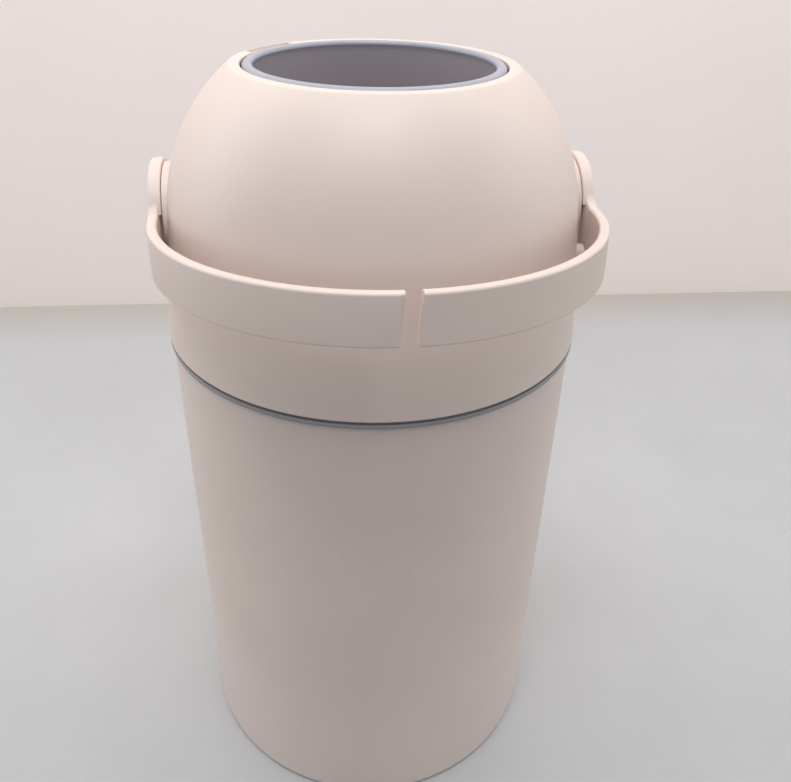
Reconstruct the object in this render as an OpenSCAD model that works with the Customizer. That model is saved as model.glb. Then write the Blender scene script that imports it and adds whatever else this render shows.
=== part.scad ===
// Diaper pail with a turning drum: bucket, bag ring, domed top, drum with a sliding piston, bow handle.
// Millimetres, +Z up, front is -Y. The origin is on the floor, on the pail's axis.

/* [Bucket] */
// Height of the bucket's rim above the floor
bucket_h = 356; // [300:1:420]
// Outer radius at the bucket's rim
bucket_rim_r = 139.5; // [130:0.5:145]
// How much smaller the foot's radius is than the rim's
bucket_taper = 2; // [0:0.5:12]
// Wall of the bucket
bucket_wall = 2.8; // [2:0.1:4]
// Height of the bucket's floor above the surface that it stands on
floor_rise = 8; // [6:0.5:20]
// Thickness of the bucket's floor
floor_t = 3; // [2:0.5:6]
// Radius of the rounded foot edge
foot_edge_r = 5; // [2:0.5:8]
// Width of the foot ring that meets the floor
foot_ring_w = 9; // [7:0.5:20]
// Number of stiffening ribs under the floor
floor_ribs = 12; // [6:1:18]
// Thickness of each rib under the floor
floor_rib_t = 2; // [1.5:0.1:4]

/* [Bag ring] */
// Height of the grey edge that shows at the seam
bag_flange_t = 3.5; // [2:0.1:6]
// How far the ring's edge is set back from the bucket's rim
bag_ring_inset = 0.3; // [0.1:0.1:2]
// How far the ring's throat is set in from the bucket's rim
bag_throat_in = 16.9; // [15:0.1:20]
// Wall of the ring
bag_wall = 2.5; // [1.5:0.1:4]
// Width of the funnel between the throat and the hole for the bag's mouth
bag_funnel_w = 22.6; // [12:0.2:30]
// Depth of the straight throat below the flange's top
bag_throat_h = 11; // [9:0.5:20]
// Height of the funnel below the throat
bag_funnel_h = 17; // [8:0.5:40]
// Depth of the skirt that plugs into the bucket
bag_skirt_h = 8; // [4:0.5:20]
// Room left beside the skirt for the bag's film
film_gap = 0.7; // [0.3:0.1:2]

/* [Domed top] */
// Shadow gap between the bag ring and the top's lower edge
seam_gap = 1; // [0.4:0.1:3]
// How far the top's lower edge stands out from the bucket's rim
collar_over = 1.9; // [1:0.1:4]
// How far the collar leans in on its way up to the dome
collar_lean = 8.4; // [6:0.2:10]
// Height above the handle's axis where the collar runs into the dome
shoulder_up = 10.3; // [6:0.1:14]
// How far the lip stands above the drum's rim ring
lip_up = 0.3; // [0.1:0.1:1]
// Wall of the top
top_wall = 3; // [2:0.1:3.6]
// Gap between the drum's rim ring and the lip
opening_gap = 1.7; // [1.4:0.1:3]
// Rounding of the opening's lip
lip_round = 3.5; // [2.5:0.1:4]
// Thickness of the lip at the opening
lip_t = 3; // [2:0.1:3.5]
// Depth of the notch in the lip
notch_depth = 4.9; // [4:0.1:6]
// Where the notch starts, in degrees from +X
notch_from = 127; // [100:1:130]
// How many degrees the notch runs on
notch_sweep = 29; // [20:1:60]

/* [Pivot] */
// How far the drum's flat end reaches below the top's lower edge
drum_dip = 3.3; // [1:0.1:5]
// How far the flat face of each pivot boss stands out from the dome's widest line
boss_out = 0.1; // [0:0.1:1]
// Radius of each raised boss
boss_r = 30; // [24:0.5:31]
// Radius of the flat that is cut round each boss
flat_r = 41; // [40:0.5:42]
// Radius of the bearing tube inside the boss
tube_r = 19; // [16:0.5:24]
// Radius of the bush in the bearing tube
bush_r = 14; // [12.5:0.1:15]
// Radius of the shaft
shaft_r = 11; // [9:0.1:12]
// Radial clearance of the shaft in its bush
shaft_clear = 0.05; // [0.02:0.01:0.1]
// Gap between the drum's ball and the bearing tube's inner end
tube_gap = 2.6; // [2.2:0.1:4]
// Thickness of the bush's inner flange
bush_flange_t = 1.6; // [1:0.1:1.8]
// Radius of the bush's inner flange
bush_flange_r = 18; // [16:0.5:20]
// Distance of the drum's stop from the handle's axis
stop_at = 27; // [26:0.5:30]
// Width and height of the drum's stop
stop_w = 7; // [5:0.5:8]
// How far the drum's stop is rooted in from its ball
stop_root = 9.5; // [8:0.5:11]
// Play of the drum at each stop
stop_gap = 0.3; // [0.2:0.1:1]
// How far in front of the handle's axis each rest lug lies
lug_at = 41; // [40:0.5:44]
// Radius of the rest lug's round end
lug_r = 6; // [4:0.5:7]
// How far the lug's round end lies below the handle's axis
lug_drop = 22; // [18:1:28]

/* [Drum] */
// How far the drum's ball stays inside each boss's face
drum_in = 13.6; // [13.4:0.1:16]
// Wall of the drum's shells
drum_wall = 2.6; // [2:0.1:4]
// Thickness of the flat ends
drum_end_t = 3; // [2:0.5:4]
// Width of each flat end between the liner and the drum's ball
drum_flat_w = 9.3; // [8.6:0.1:10]
// Wall of the liner
liner_wall = 2.4; // [1.6:0.1:2.6]
// Distance from the handle's axis to the drum's flat ends
drum_end = 82; // [79:0.5:84]
// How far the liner stands out of the shells' flat ends
liner_out = 3.5; // [2:0.1:4]
// How far the rim rings reach in over the liner's bore
rim_step = 1.2; // [1:0.1:2]
// Width of the rim rings
rim_w = 6.6; // [6:0.1:7]
// Thickness of the rim rings above the liner
rim_t = 5.5; // [4:0.1:5.6]
// Rounding of the rim rings
rim_round = 3; // [2:0.1:3.2]
// How far the drum's screw posts are set in from its ball
post_in = 21.5; // [20:0.5:23]
// Radius of the screw posts
post_r = 5.5; // [5:0.1:7]
// Height of the sleeves round the liner
sleeve_h = 20; // [12:0.5:24]
// Side of the square flange that turns the drum
key_side = 27; // [24:0.5:30]
// Thickness of that flange
key_t = 4; // [3:0.5:6]
// How far the inner face of that flange is set in from the drum's ball
key_in = 18.5; // [17:0.5:20]
// Gap round pieces that are clamped together
fit = 0.1; // [0.05:0.05:0.3]

/* [Piston] */
// Overall length of the piston
piston_len = 60; // [50:1:80]
// Radial clearance of the piston in the liner
piston_clear = 0.4; // [0.3:0.1:0.8]
// How far each end face sits inside the rim ring
piston_sunk = 4; // [1:0.1:5]
// Wall of the piston's two cups
piston_wall = 2.6; // [2:0.1:4]
// Radius of the steel weight
weight_r = 45; // [30:1:60]
// Thickness of the steel weight
weight_t = 10; // [6:0.5:16]
// Height of the soft ring between the two cups
wiper_h = 6; // [4:0.5:10]
// Width of that ring
wiper_w = 5; // [3:0.5:8]

/* [Handle] */
// Length of the bow's straight arms in front of the pivot
bow_forward = 34; // [33:0.5:50]
// Thickness of the bow
bow_t = 6.5; // [5:0.1:7.5]
// Height of the bow's band
bow_h = 28.8; // [24:0.2:34]
// How far the band's middle lies below the pivot
bow_drop = 9.4; // [6:0.2:12]
// How far the bow rises to the front, in degrees
bow_lift = 4.2; // [0:0.1:8]
// How far the band's outside is set back from the ear's
bow_set = 0.9; // [0.3:0.1:1.2]
// Rounding of the band's upper edges
bow_round = 2.9; // [1:0.1:3]
// Rounding of the band's lower edges
bow_round_low = 1.2; // [0.5:0.1:3]
// Gap between the two halves of the bow
bow_gap = 8.6; // [4:0.2:20]
// Radius of each ear
ear_r = 32.5; // [30:0.5:34]
// Thickness of each ear
ear_t = 8; // [7.5:0.1:10]
// Gap between an ear and its boss
ear_gap = 0.4; // [0.3:0.1:1]
// Rounding of the ear's edge
ear_round = 2.5; // [1:0.1:3]
// Width across the flats of the shaft's hexagonal end
hex_w = 17; // [14:0.5:19]
// Depth of the hexagonal socket in the ear
hex_d = 3.4; // [3:0.1:3.6]
// Radius of the cover on each ear
cover_r = 13; // [11:0.5:16]
// Depth of the recess under that cover
cover_d = 2.6; // [2:0.1:2.8]

/* [Cradle] */
// Gap between the drum's ball and the cradle under it
cradle_gap = 0.8; // [0.7:0.1:2]
// Wall of the cradle
cradle_wall = 2.6; // [2:0.1:4]
// How far below the pivot the cradle's bowl begins
cradle_top = 30; // [24:1:40]
// Thickness of the cradle's deck
deck_t = 3; // [2:0.5:4]
// Height of the gasket under the deck
gasket_h = 4; // [3:0.5:6]
// Number of screws that hold the cradle up into the top
cradle_screw_count = 6; // [4:1:8]
// How far those screws are set in from the top's lower edge
cradle_screw_in = 11; // [10.6:0.1:11.6]
// Length of those screws
cradle_screw_l = 17; // [12:1:20]
// How far below the bowl's top edge its gussets begin
cradle_rib_drop = 16; // [10:1:20]
// Number of gussets between the cradle's bowl and its deck
cradle_ribs = 12; // [6:1:16]

/* [Screws] */
// Length of the drum's screws
drum_screw_l = 24; // [18:1:25]
// How far below the handle's axis the drum's screws have their seat
drum_screw_seat = 10; // [8:0.5:12]
// How deep the pilot holes for the drum's screws are
drum_pilot_h = 16; // [15.5:0.5:20]
// Radius of a screw's shank
screw_r = 1.9; // [1.5:0.1:2.2]
// Radius of a screw's head
screw_head_r = 3.6; // [3:0.1:4]
// Height of a screw's head
screw_head_h = 2.4; // [1.6:0.1:3]
// Radial clearance of a shank in its hole
screw_clear = 0.05; // [0.05:0.01:0.2]

/* [Hidden] */

$fn = 96;
cut = 1;
cream = [0.93, 0.88, 0.83];
cream_dark = [0.85, 0.80, 0.75];
grey = [0.72, 0.73, 0.79];
grey_dark = [0.45, 0.43, 0.47];
rubber = [0.25, 0.25, 0.28];
steel = [0.72, 0.73, 0.75];

// Radius of a ball of radius r about the pivot, at height z above the pivot
function ball_at(r, z) = sqrt(pow(r, 2) - pow(z, 2));

// Radii, from the bucket's rim inwards
bucket_foot_r = bucket_rim_r - bucket_taper;
bag_throat_r = bucket_rim_r - bag_throat_in;
bag_hole_r = bag_throat_r - bag_funnel_w;
collar_r = bucket_rim_r + collar_over;
shoulder_r = collar_r - collar_lean;
boss_x = shoulder_r + boss_out;
drum_r = boss_x - drum_in;
liner_out_r = ball_at(drum_r, drum_end) - drum_flat_w;
liner_r = liner_out_r - liner_wall;
rim_in_r = liner_r - rim_step;
rim_out_r = rim_in_r + rim_w;
opening_r = rim_out_r + opening_gap;
notch_r = opening_r + notch_depth;
post_at = drum_r - post_in;
key_x = drum_r - key_in;
cradle_screw_at = collar_r - cradle_screw_in;

// Distances from the pivot
liner_end = drum_end + liner_out;
rim_end = liner_end + rim_t;
cradle_end = drum_end;

// Heights
flange_z = bucket_h + bag_flange_t;
seam_z = flange_z + seam_gap;
pivot_z = seam_z + drum_end - drum_dip;
top_z = pivot_z + rim_end + lip_up;
shoulder_z = pivot_z + shoulder_up;
shoulder_h = shoulder_z - seam_z;
deck_z = flange_z + gasket_h;

// The dome's arc is tangent to the collar's slope and to the lip's rounding
draft = atan((collar_r - shoulder_r) / shoulder_h);
lip_c = [opening_r + lip_round, top_z - lip_round];
lip_from_shoulder = lip_c - [shoulder_r, shoulder_z];
out_dir = [cos(draft), sin(draft)];
dome_r = (lip_from_shoulder * lip_from_shoulder - pow(lip_round, 2))
         / (-2 * (lip_from_shoulder * out_dir) - 2 * lip_round);
dome_c = [shoulder_r, shoulder_z] - dome_r * out_dir;
lip_a = atan2(lip_c[1] - dome_c[1], lip_c[0] - dome_c[0]);

// The bearing tubes in the top
tube_in_x = drum_r + tube_gap;
boss_root_x = boss_x - 8;

// What the drum sweeps when it turns over
sweep_r = max(drum_r, norm([rim_out_r - rim_round, rim_end - rim_round]) + rim_round);
seal_r = sweep_r + 0.4;

// The piston at rest lies at the drum's lower end
piston_r = liner_r - piston_clear;
piston_nose_r = rim_in_r - piston_clear;
piston_low = -(rim_end - piston_sunk);
piston_high = piston_low + piston_len;
piston_mid = (piston_low + piston_high) / 2;
nose_h = rim_t - piston_sunk + 0.3;

// The ear and the bow
ear_in_x = boss_x + ear_gap;
ear_out_x = ear_in_x + ear_t;
bow_mid_r = ear_out_x - bow_set - bow_t / 2;
gap_a = asin(bow_gap / 2 / bow_mid_r);

// Points of an arc about c, n steps from angle a0 to a1
function arc(c, r, a0, a1, n) = [for (i = [0 : n]) let (a = a0 + (a1 - a0) * i / n) c + r * [cos(a), sin(a)]];

// Radius of the collar's inner wall at height z
function collar_in(z) = collar_r - (collar_r - shoulder_r) * (z - seam_z) / shoulder_h - top_wall / cos(draft);

module at_pivot() {
    translate([0, 0, pivot_z])
        children();
}

// A tube from z0 to z1
module ring(r_in, r_out, z0, z1) {
    translate([0, 0, z0])
        difference() {
            cylinder(r = r_out, h = z1 - z0);
            translate([0, 0, -cut])
                cylinder(r = r_in, h = z1 - z0 + 2 * cut);
        }
}

// A cylinder along +X from x0 to x1
module along_x(r, x0, x1, fn = 64) {
    translate([x0, 0, 0])
        rotate([0, 90, 0])
            cylinder(r = r, h = x1 - x0, $fn = fn);
}

// One side as it is, or turned over to the left side
module side(left) {
    mirror([left ? 1 : 0, 0, 0])
        children();
}

// Bucket
module bucket() {
    slope = (bucket_rim_r - bucket_foot_r) / bucket_h;
    rim_edge = 0.8;
    corner_r = 8;
    hub_t = 2.5;
    hub_low = 1.5;
    rib_low = 2;
    inner_foot_r = bucket_foot_r + slope * (floor_rise + floor_t) - bucket_wall;
    ring_in_r = bucket_foot_r - foot_ring_w;
    color(cream)
        union() {
            rotate_extrude($fn = 128)
                polygon(concat(
                    [[0, floor_rise], [ring_in_r, floor_rise], [ring_in_r, 0]],
                    arc([bucket_foot_r - foot_edge_r, foot_edge_r], foot_edge_r, -90, 0, 8),
                    arc([bucket_rim_r - rim_edge, bucket_h - rim_edge], rim_edge, 0, 90, 4),
                    [[bucket_rim_r - bucket_wall, bucket_h]],
                    arc([inner_foot_r - corner_r, floor_rise + floor_t + corner_r], corner_r, 0, -90, 8),
                    [[0, floor_rise + floor_t]]));
            for (i = [0 : floor_ribs - 1])
                rotate([0, 0, i * 360 / floor_ribs])
                    translate([foot_ring_w, -floor_rib_t / 2, rib_low])
                        cube([ring_in_r - foot_ring_w + 2 * cut, floor_rib_t, floor_rise + 2 * cut - rib_low]);
            ring(foot_ring_w - cut, foot_ring_w + hub_t, hub_low, floor_rise + cut);
        }
}

// Bag ring: its flange lies on the bucket's rim, its skirt plugs into the bucket, its funnel holds the bag's mouth
module bag_ring() {
    flange_r = bucket_rim_r - bag_ring_inset;
    skirt_r = bucket_rim_r - bucket_wall - film_gap;
    throat_z = flange_z - bag_throat_h;
    hole_z = throat_z - bag_funnel_h;
    edge = 0.6;
    lead_in = [0.8, 1.5];
    collar_h = 4;
    slope_t = 1.2;
    color(grey)
        rotate_extrude($fn = 128)
            polygon(concat(
                [[bag_throat_r, flange_z]],
                [[bag_throat_r, throat_z], [bag_hole_r, hole_z]],
                arc([bag_hole_r + bag_wall / 2, hole_z - collar_h], bag_wall / 2, 180, 360, 6),
                [[bag_hole_r + bag_wall, hole_z - slope_t], [bag_throat_r + bag_wall, throat_z - slope_t],
                 [bag_throat_r + bag_wall, bucket_h], [skirt_r - bag_wall, bucket_h],
                 [skirt_r - bag_wall, bucket_h - bag_skirt_h], [skirt_r - lead_in[0], bucket_h - bag_skirt_h],
                 [skirt_r, bucket_h - bag_skirt_h + lead_in[1]], [skirt_r, bucket_h], [flange_r, bucket_h]],
                arc([flange_r - edge, flange_z - edge], edge, 0, 90, 4)));
}

// Domed top
module top_profile() {
    edge = 0.8;
    inner_c = dome_c;
    inner_r = dome_r - top_wall;
    under_lip = top_z - lip_t;
    inner_shoulder = [shoulder_r, shoulder_z] - top_wall * out_dir;
    inner_end_a = asin((under_lip - inner_c[1]) / inner_r);
    polygon(concat(
        [[collar_in(seam_z), seam_z]],
        arc([collar_r - edge, seam_z + edge], edge, -90, 0, 4),
        arc(dome_c, dome_r, draft, lip_a, 40),
        arc(lip_c, lip_round, lip_a, 180, 14),
        [[opening_r, under_lip]],
        arc(inner_c, inner_r, inner_end_a, draft, 40),
        [inner_shoulder]));
}

// A post that hangs down the collar's wall to the cradle's deck
module screw_post(h) {
    wall_post_r = 4.4;
    pilot_h = 18;
    translate([cradle_screw_at, 0, deck_z + deck_t])
        difference() {
            cylinder(r = wall_post_r, h = h, $fn = 48);
            translate([0, 0, -cut])
                cylinder(r = screw_r + screw_clear, h = pilot_h + cut, $fn = 48);
        }
}

// The rounded lug beside each handle root
module rest_lug() {
    lug_h = 14;
    translate([0, -lug_at, -lug_drop]) {
        along_x(lug_r, boss_root_x, boss_x, 48);
        translate([boss_root_x, -lug_r, -lug_h])
            cube([boss_x - boss_root_x, 2 * lug_r, lug_h]);
    }
}

// The two ribs that stop the drum, at the front and half a turn on
module stop_ribs() {
    rib_t = 7;
    rib_low_y = bush_flange_r + 0.6;
    reach = stop_at + stop_w / 2 + 1;
    rib_in_x = tube_in_x - 2;
    rib_out_x = boss_root_x + 4;
    for (y = [-reach, rib_low_y])
        translate([rib_in_x, y, (y < 0 ? 0 : -stop_w - 2 * stop_gap) - rib_t])
            cube([rib_out_x - rib_in_x, reach - rib_low_y, rib_t]);
}

module top_housing() {
    post_h = 58;
    flat_cut = 20;
    bush_seat = tube_in_x - 3;
    color(cream)
        difference() {
            union() {
                rotate_extrude($fn = 128)
                    top_profile();
                for (s = [false, true])
                    side(s)
                        at_pivot() {
                            along_x(boss_r, boss_root_x, boss_x, 96);
                            along_x(tube_r, tube_in_x, boss_x);
                            rest_lug();
                            stop_ribs();
                        }
                for (i = [0 : cradle_screw_count - 1])
                    rotate([0, 0, (i + 0.5) * 360 / cradle_screw_count])
                        screw_post(post_h);
            }
            for (s = [false, true])
                side(s)
                    at_pivot() {
                        along_x(flat_r, boss_x, boss_x + flat_cut, 96);
                        along_x(bush_r + fit, bush_seat, boss_x + cut);
                    }
            notch_cut();
        }
}

// Sector that takes the inner half of the lip away
module notch_cut() {
    notch_in_r = opening_r - 4;
    rotate([0, 0, notch_from])
        rotate_extrude(angle = notch_sweep, $fn = 128)
            translate([notch_in_r, top_z - lip_t - cut])
                square([notch_r - notch_in_r, lip_t + 3 * cut]);
}

// Soft ring under the lip, clear of what the drum sweeps
module upper_seal() {
    seal_low = drum_end - 1.5;
    seal_out = 5;
    r_low = ball_at(seal_r, seal_low);
    seal_top = top_z - lip_t - pivot_z;
    color(rubber)
        at_pivot()
            intersection() {
                rotate_extrude($fn = 128)
                    difference() {
                        translate([opening_r + 0.4, seal_low])
                            square([r_low + seal_out - opening_r, seal_top - seal_low]);
                        circle(r = seal_r, $fn = 256);
                    }
                translate([0, 0, dome_c[1] - pivot_z])
                    rotate_extrude($fn = 128)
                        intersection() {
                            translate([dome_c[0], 0])
                                circle(r = dome_r - top_wall - fit, $fn = 256);
                            square([2 * dome_r, 2 * dome_r]);
                        }
            }
}

// Plain bush with a flange on the drum's side
module pivot_bush() {
    difference() {
        union() {
            along_x(bush_r, tube_in_x - cut, boss_x);
            along_x(bush_flange_r, tube_in_x - bush_flange_t, tube_in_x);
        }
        along_x(shaft_r + shaft_clear, key_x, boss_x + cut);
    }
}

module pivot_bush_left() {
    color(grey_dark)
        at_pivot()
            side(true)
                pivot_bush();
}

module pivot_bush_right() {
    color(grey_dark)
        at_pivot()
            pivot_bush();
}

// Cradle: bowl under the drum, deck that closes the collar, spigot that plugs into the bag ring
module drum_cradle() {
    in_r = sweep_r + cradle_gap;
    out_r = in_r + cradle_wall;
    a_top = asin(cradle_top / in_r);
    a_end = asin(cradle_end / in_r);
    deck_low = deck_z - pivot_z;
    deck_top = deck_low + deck_t;
    deck_r = collar_in(deck_z + deck_t) - 0.4;
    spigot_r = bag_throat_r - 0.6;
    spigot_low = flange_z - 8 - pivot_z;
    color(grey_dark)
        at_pivot()
            difference() {
                union() {
                    rotate_extrude($fn = 128)
                        polygon(concat(
                            arc([0, 0], in_r, -a_end, -a_top, 24),
                            [[ball_at(out_r, cradle_top), -cradle_top]],
                            arc([0, 0], out_r, -asin(cradle_top / out_r), -asin(-deck_top / out_r), 10),
                            [[deck_r, deck_top], [deck_r, deck_low], [spigot_r, deck_low],
                             [spigot_r, spigot_low + 1], [spigot_r - 1, spigot_low],
                             [spigot_r - cradle_wall, spigot_low], [spigot_r - cradle_wall, deck_low]],
                            arc([0, 0], out_r, -asin(-deck_low / out_r), -asin(cradle_end / out_r), 8)));
                    for (i = [0 : cradle_ribs - 1])
                        rotate([0, 0, (i + 0.5) * 360 / cradle_ribs])
                            cradle_rib(out_r, deck_top, deck_r);
                }
                for (i = [0 : cradle_screw_count - 1])
                    rotate([0, 0, (i + 0.5) * 360 / cradle_screw_count])
                        translate([cradle_screw_at, 0, deck_low - cut])
                            cylinder(r = screw_r + screw_clear, h = deck_t + 2 * cut, $fn = 48);
            }
}

// Gusset between the bowl and the deck
module cradle_rib(out_r, deck_top, deck_r) {
    rib_t = 2;
    rib_top = -cradle_top - cradle_rib_drop;
    rib_low = deck_top - 0.5;
    rib_in = cradle_wall / 2;
    rib_edge = 1;
    edge_margin = 12;
    rotate([90, 0, 0])
        translate([0, 0, -rib_t / 2])
            linear_extrude(rib_t)
                polygon([[ball_at(out_r, deck_top) - rib_in, rib_low], [deck_r - edge_margin, rib_low],
                         [ball_at(out_r, rib_top) + rib_edge, rib_top], [ball_at(out_r, rib_top) - rib_in, rib_top]]);
}

// Soft ring on the bowl's lower edge
module lower_seal() {
    seal_t = 5;
    z0 = -cradle_end - seal_t;
    lip_w = 3.4;
    out_r = ball_at(seal_r, cradle_end) + lip_w;
    bevel = 1.5;
    color(rubber)
        at_pivot()
            rotate_extrude($fn = 128)
                polygon(concat(
                    arc([0, 0], seal_r, -asin(-z0 / seal_r), -asin(cradle_end / seal_r), 6),
                    [[out_r, -cradle_end], [out_r, z0 + bevel], [out_r - bevel, z0]]));
}

// Flat gasket between the deck and the bag ring's flange
module seam_gasket() {
    gasket_in = bag_throat_r + 0.6;
    gasket_w = 3;
    color(rubber)
        ring(gasket_in, gasket_in + gasket_w, flange_z, deck_z);
}

// A screw with its head's bearing face at z = 0 and its shank running to +Z
module screw(len) {
    socket_r = 1.4;
    socket_h = 1.4;
    color(steel)
        union() {
            translate([0, 0, -screw_head_h])
                difference() {
                    cylinder(r = screw_head_r, h = screw_head_h, $fn = 48);
                    translate([0, 0, -cut])
                        cylinder(r = socket_r, h = socket_h + cut, $fn = 6);
                }
            cylinder(r = screw_r, h = len, $fn = 48);
        }
}

module cradle_screws() {
    for (i = [0 : cradle_screw_count - 1])
        rotate([0, 0, (i + 0.5) * 360 / cradle_screw_count])
            translate([cradle_screw_at, 0, deck_z])
                screw(cradle_screw_l);
}

// Half of the drum's ball, with its flat end, its sleeve round the liner, its posts and its trunnion blocks
module drum_half(with_stop) {
    sleeve_t = 2.2;
    sleeve_low = drum_end - sleeve_h;
    in_r = drum_r - drum_wall;
    bore_r = liner_out_r + fit;
    block_x = key_x - 3;
    block_w = key_side + 8;
    block_len = 30;
    stop_x = drum_r - stop_root;
    stop_out_x = tube_in_x - 0.5;
    difference() {
        union() {
            rotate_extrude($fn = 128)
                polygon(concat(
                    arc([0, 0], drum_r, 0, asin(drum_end / drum_r), 32),
                    [[bore_r, drum_end], [bore_r, sleeve_low], [bore_r + sleeve_t, sleeve_low],
                     [bore_r + sleeve_t, drum_end - drum_end_t]],
                    arc([0, 0], in_r, asin((drum_end - drum_end_t) / in_r), 0, 32)));
            intersection() {
                union() {
                    for (a = [45 : 90 : 315])
                        rotate([0, 0, a])
                            translate([post_at, 0, 0])
                                cylinder(r = post_r, h = drum_r, $fn = 48);
                    for (s = [false, true])
                        side(s)
                            translate([block_x, -block_w / 2, 0])
                                cube([block_len, block_w, block_w / 2]);
                }
                sphere(r = drum_r - 0.6, $fn = 128);
            }
            if (with_stop)
                for (s = [false, true])
                    side(s)
                        translate([stop_x, -stop_at - stop_w / 2, stop_gap])
                            cube([stop_out_x - stop_x, stop_w, stop_w]);
        }
        for (s = [false, true])
            side(s) {
                translate([key_x - fit, -key_side / 2 - fit, -key_side / 2 - fit])
                    cube([key_t + 2 * fit, key_side + 2 * fit, key_side + 2 * fit]);
                along_x(shaft_r + fit, key_x, drum_r + cut);
            }
    }
}

module drum_shell_upper() {
    color(cream_dark)
        at_pivot()
            difference() {
                drum_half(true);
                for (a = [45 : 90 : 315])
                    rotate([0, 0, a])
                        translate([post_at, 0, -cut])
                            cylinder(r = screw_r + screw_clear, h = drum_pilot_h + cut, $fn = 48);
            }
}

module drum_shell_lower() {
    color(cream_dark)
        at_pivot()
            mirror([0, 0, 1])
                difference() {
                    drum_half(false);
                    for (a = [45 : 90 : 315])
                        rotate([0, 0, a])
                            translate([post_at, 0, -cut]) {
                                cylinder(r = screw_r + screw_clear, h = drum_r, $fn = 48);
                                translate([0, 0, drum_screw_seat + cut])
                                    cylinder(r = screw_head_r + 0.3, h = drum_r, $fn = 48);
                            }
                }
}

module drum_screws() {
    at_pivot()
        for (a = [45 : 90 : 315])
            rotate([0, 0, a])
                translate([post_at, 0, -drum_screw_seat])
                    screw(drum_screw_l);
}

module drum_liner() {
    color(grey_dark)
        at_pivot()
            ring(liner_r, liner_out_r, -liner_end, liner_end);
}

// Rounded ring that caps the liner's end and lands on the shell's flat
module rim_ring() {
    inner_round = 2.4;
    rotate_extrude($fn = 128)
        polygon(concat(
            [[rim_in_r, liner_end], [liner_out_r + fit, liner_end], [liner_out_r + fit, drum_end]],
            [[rim_out_r, drum_end]],
            arc([rim_out_r - rim_round, rim_end - rim_round], rim_round, 0, 90, 10),
            arc([rim_in_r + inner_round, rim_end - inner_round], inner_round, 90, 180, 10)));
}

module rim_ring_upper() {
    color(grey)
        at_pivot()
            rim_ring();
}

module rim_ring_lower() {
    color(grey)
        at_pivot()
            mirror([0, 0, 1])
                rim_ring();
}

// Trunnion: square flange in the drum, round shaft in the bush, hexagonal end in the ear
module trunnion() {
    hex_x = boss_x + ear_gap / 2;
    hex_end = ear_in_x + hex_d - fit;
    pilot_h = 18;
    difference() {
        union() {
            translate([key_x, -key_side / 2, -key_side / 2])
                cube([key_t, key_side, key_side]);
            along_x(shaft_r, key_x + key_t, hex_x, 96);
            along_x(hex_w / sqrt(3), hex_x, hex_end, 6);
        }
        along_x(screw_r + screw_clear, hex_end - pilot_h, hex_end + cut, 48);
    }
}

module trunnion_left() {
    color(steel)
        at_pivot()
            side(true)
                trunnion();
}

module trunnion_right() {
    color(steel)
        at_pivot()
            trunnion();
}

// Cross-section of the band, set in all round by less: thickness along x about 0, height along y
module band_section(less) {
    t = bow_t / 2 - less;
    h = bow_h / 2 - less;
    polygon(concat(
        arc([t - bow_round, h - bow_round], bow_round, 0, 90, 6),
        arc([-t + bow_round, h - bow_round], bow_round, 90, 180, 6),
        arc([-t + bow_round_low, -h + bow_round_low], bow_round_low, 180, 270, 2),
        arc([t - bow_round_low, -h + bow_round_low], bow_round_low, 270, 360, 2)));
}

// Half of the bow: a quarter turn and a straight arm, which is set in by a hair and starts inside the turn
module half_bow() {
    hair = 0.02;
    lap = 0.3;
    translate([0, 0, -bow_drop])
        rotate([-bow_lift, 0, 0])
            union() {
                translate([0, -bow_forward, 0])
                    rotate([0, 0, gap_a - 90])
                        rotate_extrude(angle = 90 - gap_a, $fn = 160)
                            translate([bow_mid_r, 0])
                                band_section(0);
                translate([bow_mid_r, 0, 0])
                    rotate([90, 0, 0])
                        linear_extrude(bow_forward + lap)
                            band_section(hair);
            }
}

module ear() {
    rotate([0, 90, 0])
        rotate_extrude($fn = 128)
            polygon(concat(
                [[0, ear_in_x], [ear_r - 0.6, ear_in_x], [ear_r, ear_in_x + 0.6]],
                arc([ear_r - ear_round, ear_out_x - ear_round], ear_round, 0, 90, 8),
                [[0, ear_out_x]]));
}

module handle_half() {
    difference() {
        union() {
            half_bow();
            ear();
        }
        along_x((hex_w + 2 * fit) / sqrt(3), ear_in_x - cut, ear_in_x + hex_d, 6);
        along_x(screw_r + screw_clear, ear_in_x, ear_out_x + cut, 48);
        along_x(cover_r + fit, ear_out_x - cover_d, ear_out_x + cut);
    }
}

module handle_left() {
    color(cream)
        at_pivot()
            side(true)
                handle_half();
}

module handle_right() {
    color(cream)
        at_pivot()
            handle_half();
}

module handle_screw() {
    translate([ear_out_x - cover_d, 0, 0])
        rotate([0, -90, 0])
            screw_low();
}

// A flat-headed screw whose head rises 1.4 above its bearing face
module screw_low() {
    head_r = 5;
    head_h = 1.4;
    len = 17;
    color(steel)
        union() {
            translate([0, 0, -head_h])
                cylinder(r = head_r, h = head_h, $fn = 48);
            cylinder(r = screw_r, h = len, $fn = 48);
        }
}

module handle_screws() {
    at_pivot() {
        handle_screw();
        side(true)
            handle_screw();
    }
}

// Cover that hides the screw on the ear
module ear_cover() {
    skirt_t = 2;
    plate = 1;
    crown = 0.5;
    base_x = ear_out_x - cover_d;
    rotate([0, 90, 0])
        rotate_extrude($fn = 96)
            polygon(concat(
                [[0, ear_out_x - plate], [cover_r - skirt_t, ear_out_x - plate], [cover_r - skirt_t, base_x],
                 [cover_r, base_x]],
                arc([cover_r - crown, ear_out_x - 0.1], crown, 0, 90, 4),
                [[0, ear_out_x + crown - 0.1]]));
}

module ear_cover_left() {
    color(cream)
        at_pivot()
            side(true)
                ear_cover();
}

module ear_cover_right() {
    color(cream)
        at_pivot()
            ear_cover();
}

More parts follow.
